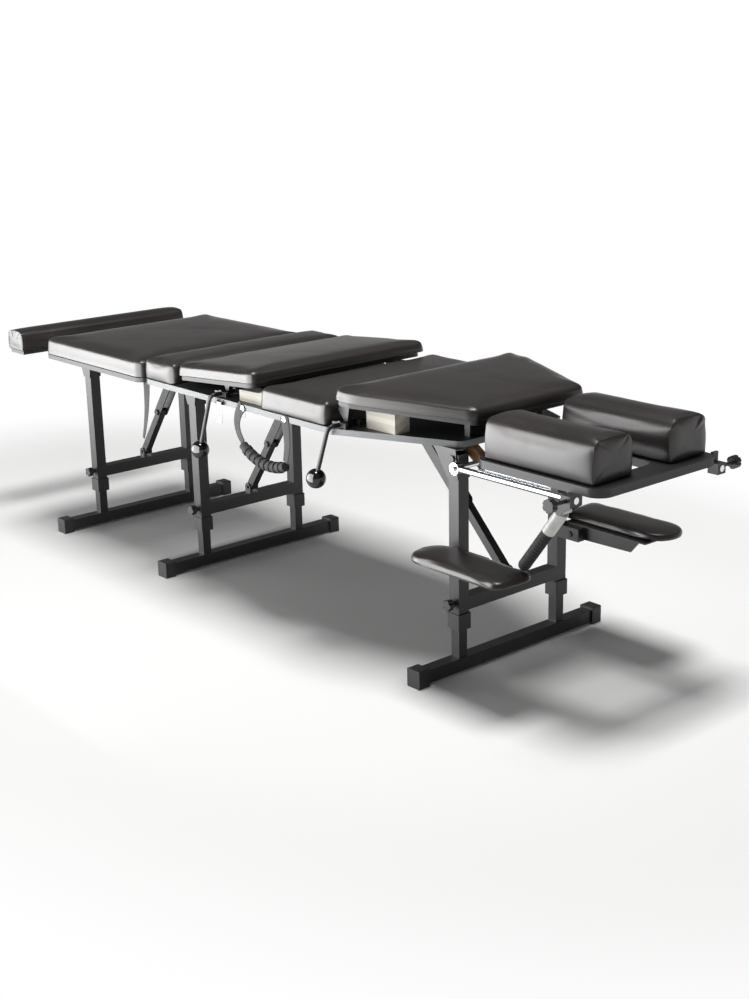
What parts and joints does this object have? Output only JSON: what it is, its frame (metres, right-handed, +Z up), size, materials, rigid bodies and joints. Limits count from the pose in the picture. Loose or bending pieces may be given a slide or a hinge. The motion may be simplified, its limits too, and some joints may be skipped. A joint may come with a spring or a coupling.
{
  "type": "portable chiropractic table",
  "caption": "Folding treatment table with telescoping H legs, two lever-released drop pads, a tilting split face rest, armrests and a sliding ankle bolster.",
  "frame": {"origin": "on the floor below the middle of the bounding box", "axes": "+X to the head end, -Y the side with the levers, +Z up"},
  "size_m": [2.185, 0.6045, 0.6184],
  "materials": {
    "black_vinyl": "satin",
    "black_steel": "powder coat",
    "black_board": "painted",
    "grey_edge": "matte",
    "black_plastic": "matte",
    "gloss_ball": "gloss",
    "pine": "planed",
    "tan_wood": "planed",
    "chrome": "polished",
    "webbing": "woven",
    "foam_grip": "matte",
    "white_sleeve": "satin"
  },
  "bodies": {
    "deck": {"main_deck": "black_board", "deck_edge_trim": "grey_edge", "knee_pad": "black_vinyl", "abdominal_pad": "black_vinyl", "drop_hardware": "black_steel", "pine_stops": "pine", "head_arm_blocks": "tan_wood", "deck_brackets": "black_steel", "head_axle": "chrome", "handle_strap": "webbing", "handle_grip": "foam_grip"},
    "foot_section": {"foot_board": "black_board", "leg_pad": "black_vinyl", "foot_board_brackets": "black_steel", "hanging_strap": "webbing"},
    "bolster": {"ankle_bolster": "black_vinyl", "bolster_carriage": "black_steel"},
    "pelvic_drop": {"pelvic_board": "black_board", "pelvic_pad": "black_vinyl"},
    "pelvic_handle": {"pelvic_lever": "black_steel", "pelvic_lever_ball": "gloss_ball"},
    "thoracic_drop": {"thoracic_board": "black_board", "thoracic_pad": "black_vinyl"},
    "thoracic_handle": {"thoracic_lever": "black_steel", "thoracic_lever_ball": "gloss_ball"},
    "head_section": {"head_rods": "chrome", "head_platform": "black_board", "head_cushions": "black_vinyl", "rod_clamps": "black_steel"},
    "near_knob": {"near_clamp_knob": "black_plastic"},
    "far_knob": {"far_clamp_knob": "black_plastic"},
    "prop": {"prop_sleeve": "white_sleeve", "prop_tube": "foam_grip"},
    "near_armrest": {"near_armrest_plate": "black_steel", "near_armrest_pad": "black_vinyl"},
    "far_armrest": {"far_armrest_plate": "black_steel", "far_armrest_pad": "black_vinyl"},
    "latch": {"deck_latch": "chrome"},
    "foot_leg": {"foot_leg_upper": "black_steel", "foot_leg_collars": "black_plastic"},
    "foot_leg_foot": {"foot_leg_lower": "black_steel", "foot_leg_caps": "black_plastic"},
    "foot_knob": {"foot_leg_knob": "black_plastic"},
    "foot_brace_foot": {"foot_brace_lower": "black_steel"},
    "foot_brace_top": {"foot_brace_upper": "black_steel"},
    "middle_leg": {"middle_leg_upper": "black_steel", "middle_leg_collars": "black_plastic"},
    "middle_leg_foot": {"middle_leg_lower": "black_steel", "middle_leg_caps": "black_plastic"},
    "middle_knob": {"middle_leg_knob": "black_plastic"},
    "middle_brace_foot": {"middle_brace_lower": "black_steel"},
    "middle_brace_top": {"middle_brace_upper": "black_steel"},
    "head_leg": {"head_leg_upper": "black_steel", "head_leg_collars": "black_plastic", "armrest_brackets": "black_steel"},
    "head_leg_foot": {"head_leg_lower": "black_steel", "head_leg_caps": "black_plastic"},
    "head_knob": {"head_leg_knob": "black_plastic"},
    "head_brace_foot": {"head_brace_lower": "black_steel"},
    "head_brace_top": {"head_brace_upper": "black_steel"}
  },
  "joints": [
    {"name": "section_fold", "type": "hinge", "parent": "deck", "child": "foot_section", "pos_m": [-0.3725, 0, 0.502], "axis": [0, 1, 0], "range_deg": [-50, 0]},
    {"name": "bolster_slide", "type": "slide", "parent": "foot_section", "child": "bolster", "axis": [1, 0, 0], "range_m": [-0.04, 0.11]},
    {"name": "foot_leg_fold", "type": "hinge", "parent": "foot_section", "child": "foot_leg", "pos_m": [-0.8305, 0, 0.483], "axis": [0, -1, 0], "range_deg": [0, 84]},
    {"name": "foot_leg_telescope", "type": "slide", "parent": "foot_leg", "child": "foot_leg_foot", "axis": [0, 0, 1], "range_m": [-0.1, 0.05]},
    {"name": "foot_knob_turn", "type": "hinge", "parent": "foot_leg", "child": "foot_knob", "pos_m": [-0.8305, -0.19, 0.162], "axis": [0, -1, 0], "continuous": true},
    {"name": "foot_brace_foot_pivot", "type": "hinge", "parent": "foot_leg", "child": "foot_brace_foot", "pos_m": [-0.8205, 0, 0.192], "axis": [0, -1, 0], "range_deg": [-2, 128]},
    {"name": "foot_brace_top_pivot", "type": "hinge", "parent": "foot_section", "child": "foot_brace_top", "pos_m": [-0.6085, 0, 0.486], "axis": [0, -1, 0], "range_deg": [-2, 53]},
    {"name": "middle_leg_fold", "type": "hinge", "parent": "deck", "child": "middle_leg", "pos_m": [-0.3035, 0, 0.487], "axis": [0, -1, 0], "range_deg": [0, 70]},
    {"name": "middle_leg_telescope", "type": "slide", "parent": "middle_leg", "child": "middle_leg_foot", "axis": [0, 0, 1], "range_m": [-0.1, 0.05]},
    {"name": "middle_knob_turn", "type": "hinge", "parent": "middle_leg", "child": "middle_knob", "pos_m": [-0.3035, -0.19, 0.162], "axis": [0, -1, 0], "continuous": true},
    {"name": "middle_brace_foot_pivot", "type": "hinge", "parent": "middle_leg", "child": "middle_brace_foot", "pos_m": [-0.2935, 0, 0.192], "axis": [0, -1, 0], "range_deg": [-2, 87]},
    {"name": "middle_brace_top_pivot", "type": "hinge", "parent": "deck", "child": "middle_brace_top", "pos_m": [-0.0815, 0, 0.49], "axis": [0, -1, 0], "range_deg": [-2, 11]},
    {"name": "head_leg_fold", "type": "hinge", "parent": "deck", "child": "head_leg", "pos_m": [0.6745, 0, 0.487], "axis": [0, 1, 0], "range_deg": [0, 72]},
    {"name": "head_leg_telescope", "type": "slide", "parent": "head_leg", "child": "head_leg_foot", "axis": [0, 0, 1], "range_m": [-0.1, 0.05]},
    {"name": "head_knob_turn", "type": "hinge", "parent": "head_leg", "child": "head_knob", "pos_m": [0.6745, -0.19, 0.162], "axis": [0, -1, 0], "continuous": true},
    {"name": "head_brace_foot_pivot", "type": "hinge", "parent": "head_leg", "child": "head_brace_foot", "pos_m": [0.6645, 0, 0.192], "axis": [0, 1, 0], "range_deg": [-2, 65]},
    {"name": "head_brace_top_pivot", "type": "hinge", "parent": "deck", "child": "head_brace_top", "pos_m": [0.3745, 0, 0.49], "axis": [0, -1, 0], "range_deg": [-2, 26]},
    {"name": "pelvic_release", "type": "hinge", "parent": "deck", "child": "pelvic_handle", "pos_m": [-0.0415, 0, 0.529], "axis": [0, 1, 0], "range_deg": [0, 50]},
    {"name": "pelvic_drop_hinge", "type": "hinge", "parent": "deck", "child": "pelvic_drop", "pos_m": [-0.2015, 0, 0.534], "axis": [0, 1, 0], "range_deg": [-0.1, 2.5]},
    {"name": "thoracic_release", "type": "hinge", "parent": "deck", "child": "thoracic_handle", "pos_m": [0.4065, 0, 0.529], "axis": [0, 1, 0], "range_deg": [0, 50]},
    {"name": "thoracic_drop_hinge", "type": "hinge", "parent": "deck", "child": "thoracic_drop", "pos_m": [0.6585, 0, 0.561], "axis": [0, -1, 0], "range_deg": [-0.1, 2.3]},
    {"name": "head_tilt", "type": "hinge", "parent": "deck", "child": "head_section", "pos_m": [0.7065, 0, 0.476], "axis": [0, -1, 0], "range_deg": [-26, 10]},
    {"name": "prop_swing", "type": "hinge", "parent": "head_section", "child": "prop", "pos_m": [1.0075, -0.192, 0.452], "axis": [0, -1, 0], "range_deg": [-50, 20]},
    {"name": "near_knob_turn", "type": "hinge", "parent": "head_section", "child": "near_knob", "pos_m": [1.0245, -0.23, 0.476], "axis": [0, -1, 0], "continuous": true},
    {"name": "far_knob_turn", "type": "hinge", "parent": "head_section", "child": "far_knob", "pos_m": [1.0785, 0.23, 0.476], "axis": [0, 1, 0], "continuous": true},
    {"name": "near_armrest_fold", "type": "hinge", "parent": "head_leg", "child": "near_armrest", "pos_m": [0.7265, -0.17, 0.262], "axis": [0, 1, 0], "range_deg": [0, 90]},
    {"name": "far_armrest_fold", "type": "hinge", "parent": "head_leg", "child": "far_armrest", "pos_m": [0.7265, 0.17, 0.262], "axis": [0, 1, 0], "range_deg": [0, 90]},
    {"name": "latch_swing", "type": "hinge", "parent": "deck", "child": "latch", "pos_m": [-0.0185, -0.28, 0.513], "axis": [-1, 0, 0], "range_deg": [0, 90]}
  ],
  "couplings": [
    {"joint": "foot_brace_foot_pivot", "follows": "foot_leg_fold", "ratio": 1.4939},
    {"joint": "foot_brace_top_pivot", "follows": "foot_leg_fold", "ratio": 0.6028},
    {"joint": "middle_brace_foot_pivot", "follows": "middle_leg_fold", "ratio": 1.2099},
    {"joint": "middle_brace_top_pivot", "follows": "middle_leg_fold", "ratio": 0.1275},
    {"joint": "head_brace_foot_pivot", "follows": "head_leg_fold", "ratio": 0.8678},
    {"joint": "head_brace_top_pivot", "follows": "head_leg_fold", "ratio": 0.3249},
    {"joint": "pelvic_drop_hinge", "follows": "pelvic_release", "ratio": 0.048},
    {"joint": "thoracic_drop_hinge", "follows": "thoracic_release", "ratio": 0.044},
    {"joint": "prop_swing", "follows": "head_tilt", "ratio": 1.894}
  ]
}
